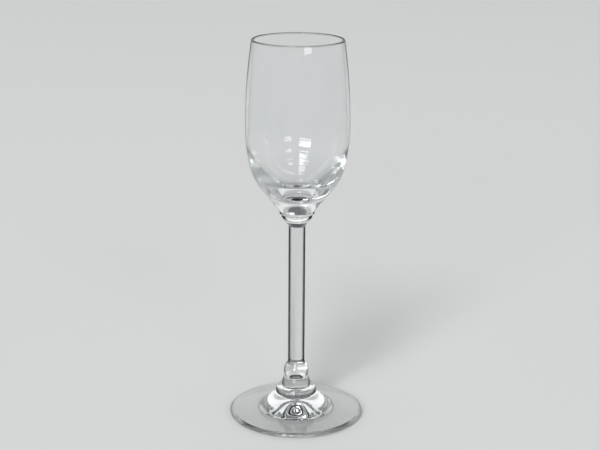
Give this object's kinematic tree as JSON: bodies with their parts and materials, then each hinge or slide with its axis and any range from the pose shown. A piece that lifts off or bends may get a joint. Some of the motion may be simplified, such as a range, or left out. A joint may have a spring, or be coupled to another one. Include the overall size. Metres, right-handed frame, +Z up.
{
  "type": "cordial glass",
  "caption": "Small stemmed glass in clear glass: slim bowl with a solid heel, button merese, straight rod stem, ball knop, two rounded collars and a wide foot with a raised middle.",
  "frame": {"origin": "centre of the foot's resting ring, on the surface that the glass stands on", "axes": "+Z up along the axis of the glass, from the foot to the rim; the glass is round, so +X and +Y are any two directions at right angles"},
  "size_m": [0.0562, 0.0562, 0.16],
  "materials": {
    "clear_glass": "fire polished, clear and colourless"
  },
  "bodies": {
    "root": {"bowl": "clear_glass", "merese": "clear_glass", "stem": "clear_glass", "knop": "clear_glass", "upper_collar": "clear_glass", "lower_collar": "clear_glass", "foot": "clear_glass"}
  },
  "joints": []
}
